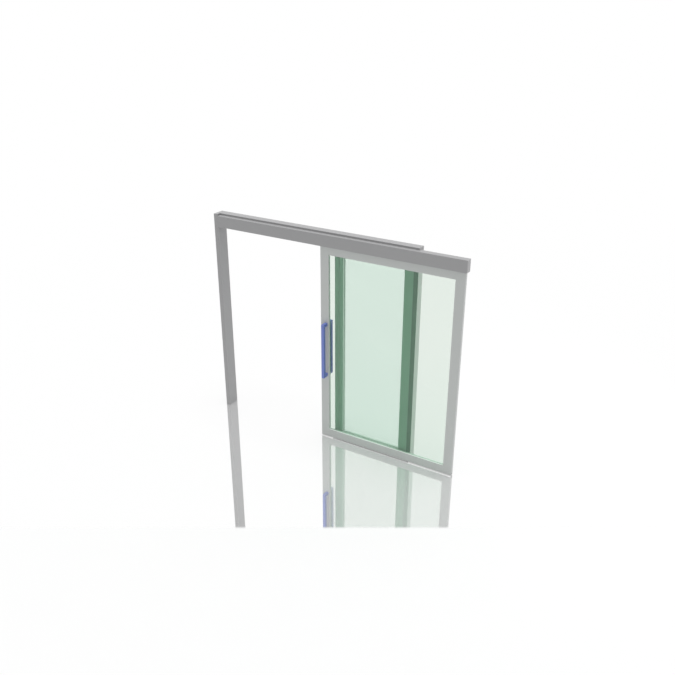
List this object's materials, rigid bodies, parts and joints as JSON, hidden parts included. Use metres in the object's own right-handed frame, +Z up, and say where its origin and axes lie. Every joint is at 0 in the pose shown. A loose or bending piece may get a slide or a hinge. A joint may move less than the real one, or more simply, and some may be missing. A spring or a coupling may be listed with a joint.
{
  "type": "glass sliding patio door",
  "caption": "Top-hung glass sliding patio door with a fixed glazed panel, aluminium frame, track beam and D-shaped pull handles.",
  "frame": {"origin": "on the outer face of the left jamb, at the middle of its depth, at floor level", "axes": "+X along the door to the fixed panel, +Y from the track side to the inside, +Z up"},
  "size_m": [3, 0.2125, 2.4],
  "materials": {
    "frame_aluminium": "satin powder coat, mid grey",
    "leaf_aluminium": "satin powder coat, light grey",
    "rail_aluminium": "mill finish",
    "steel": "zinc plated",
    "rubber": "matt",
    "grey_rubber": "matt, grey",
    "brush_pile": "soft grey pile",
    "nylon": "smooth",
    "blue_paint": "satin blue powder coat",
    "green_glass": "clear, green tint"
  },
  "bodies": {
    "frame": {"left_jamb": "frame_aluminium", "left_jamb_foot": "frame_aluminium", "left_jamb_cap": "frame_aluminium", "right_jamb": "frame_aluminium", "right_jamb_foot": "frame_aluminium", "frame_head": "frame_aluminium", "head_end_cap": "frame_aluminium", "track_beam": "frame_aluminium", "track_end_cap": "frame_aluminium", "hanger_rail": "rail_aluminium", "rail_buffers": "rubber", "fixed_left_stile": "leaf_aluminium", "fixed_right_stile": "leaf_aluminium", "fixed_bottom_rail": "leaf_aluminium", "fixed_top_rail": "leaf_aluminium", "fixed_glass": "green_glass", "fixed_gaskets": "grey_rubber", "meeting_seal": "brush_pile", "floor_guide": "rail_aluminium"},
    "leaf": {"leaf_left_stile": "leaf_aluminium", "leaf_right_stile": "leaf_aluminium", "leaf_top_rail": "leaf_aluminium", "leaf_bottom_rail": "leaf_aluminium", "leaf_stile_caps": "leaf_aluminium", "leaf_glass": "green_glass", "leaf_gaskets": "grey_rubber", "hanger_plates": "steel", "hanger_bolts": "steel", "carriage_bodies": "steel", "carriage_wheels": "nylon", "front_handle": "blue_paint", "back_handle": "blue_paint"}
  },
  "joints": [
    {"name": "leaf_slide", "type": "slide", "parent": "frame", "child": "leaf", "axis": [-1, 0, 0], "range_m": [0, 1.33]}
  ]
}
